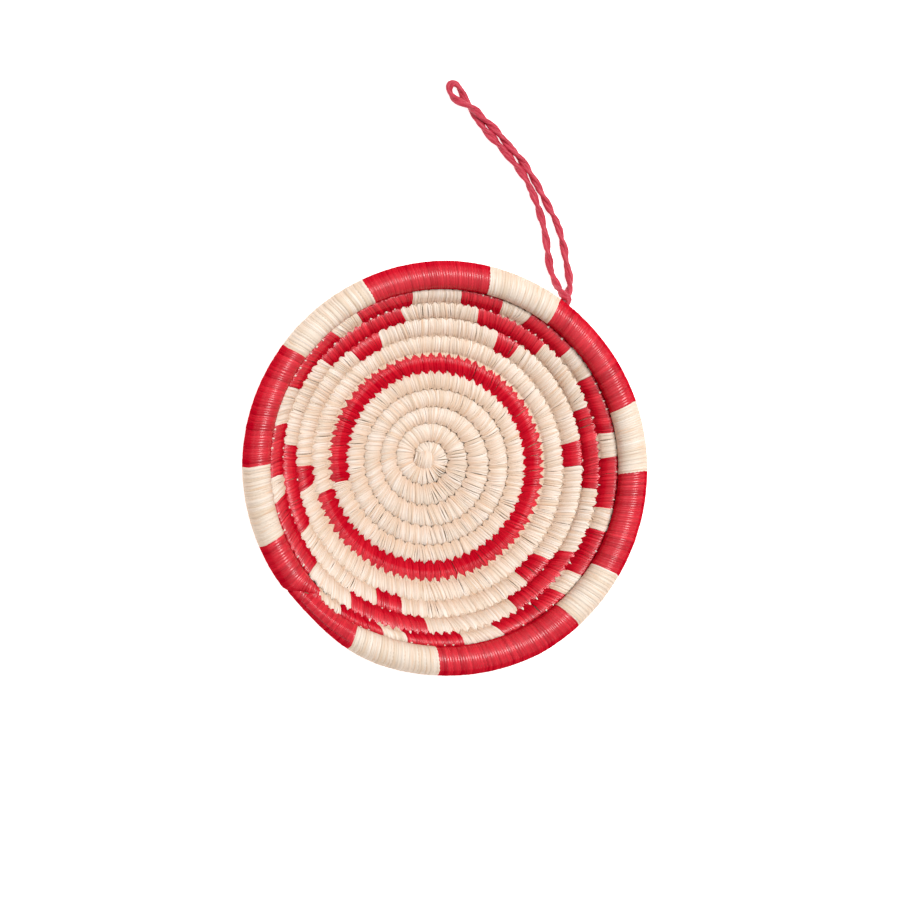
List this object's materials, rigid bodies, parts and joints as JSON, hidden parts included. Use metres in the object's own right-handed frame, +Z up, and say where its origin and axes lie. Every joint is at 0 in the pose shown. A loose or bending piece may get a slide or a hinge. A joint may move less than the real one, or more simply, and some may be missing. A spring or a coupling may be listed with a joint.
{
  "type": "bowl ornament",
  "caption": "Shallow round bowl ornament coiled and stitched from plant fibre, with a thick wrapped rim and a twisted hanging loop",
  "frame": {"origin": "On the surface the bowl stands on, under the middle of the bowl's outline; the hanging loop is left out", "axes": "+Z up out of the bowl's mouth, +Y towards the side where the hanging loop lies, +X to the right in the picture"},
  "size_m": [0.1002, 0.1454, 0.0167],
  "materials": {
    "natural_raffia": "satin plant fibre",
    "red_raffia": "satin dyed plant fibre"
  },
  "bodies": {
    "root": {"coiled_bowl": "natural_raffia", "hanging_loop": "red_raffia"}
  },
  "joints": []
}
